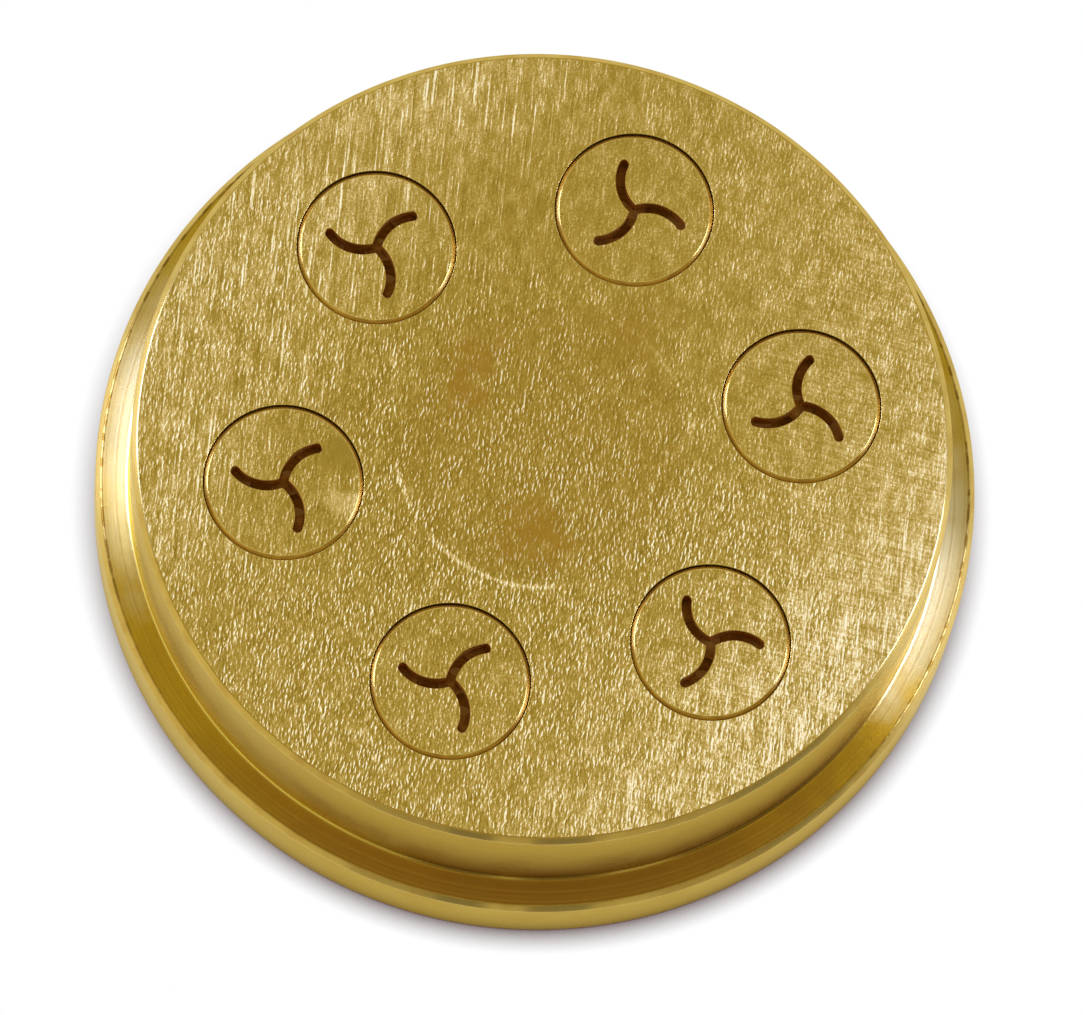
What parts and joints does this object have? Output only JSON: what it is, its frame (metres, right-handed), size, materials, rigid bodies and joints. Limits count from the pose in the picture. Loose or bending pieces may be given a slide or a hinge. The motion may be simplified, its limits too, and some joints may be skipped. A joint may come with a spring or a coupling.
{
  "type": "pasta extrusion die",
  "caption": "Flanged round bronze die holding inserts with curved pinwheel slots; dough pressed through from the back leaves as twisted, ribbed short pasta.",
  "frame": {"origin": "centre of the flat back face, where the dough goes in", "axes": "+Z along the die's axis, out of the outlet face; +X through the first insert"},
  "size_m": [0.078, 0.078, 0.02],
  "materials": {
    "body_bronze": "ground outlet face, finely turned and polished sides",
    "insert_bronze": "ground flush with the outlet face, turned elsewhere"
  },
  "bodies": {
    "root": {"die_body": "body_bronze", "insert_1": "insert_bronze", "insert_2": "insert_bronze", "insert_3": "insert_bronze", "insert_4": "insert_bronze", "insert_5": "insert_bronze", "insert_6": "insert_bronze"}
  },
  "joints": []
}
